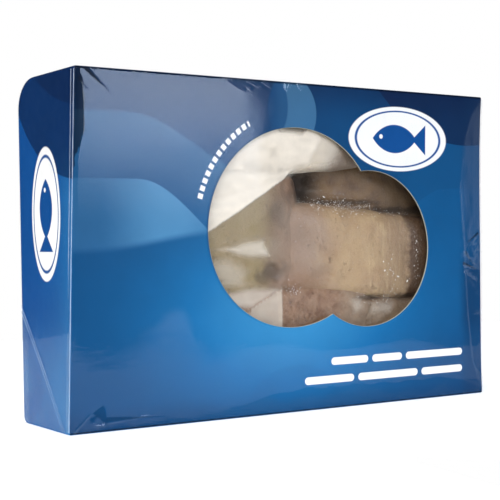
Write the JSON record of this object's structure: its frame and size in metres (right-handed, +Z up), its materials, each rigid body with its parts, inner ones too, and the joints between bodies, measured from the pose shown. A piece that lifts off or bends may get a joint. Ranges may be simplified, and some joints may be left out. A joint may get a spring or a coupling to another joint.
{
  "type": "frozen cod loin pack",
  "caption": "Printed folding carton with a lobed window closed by clear film, holding a sealed bag of frozen, desalted cod loins. Stands on its long side.",
  "frame": {"origin": "middle of the base, on the surface that the pack stands on", "axes": "+Z up, +X along the length to the right as seen from the window side, -Y out of the window side"},
  "size_m": [0.274, 0.0692, 0.18],
  "materials": {
    "printed_card": "glossy blue print on folding card",
    "clear_film": "clear glossy wrapping film",
    "bagged_fish": "clear sealed film over pale frozen fish"
  },
  "bodies": {
    "root": {"carton": "printed_card", "window_film": "clear_film", "loin_bag": "bagged_fish"}
  },
  "joints": []
}
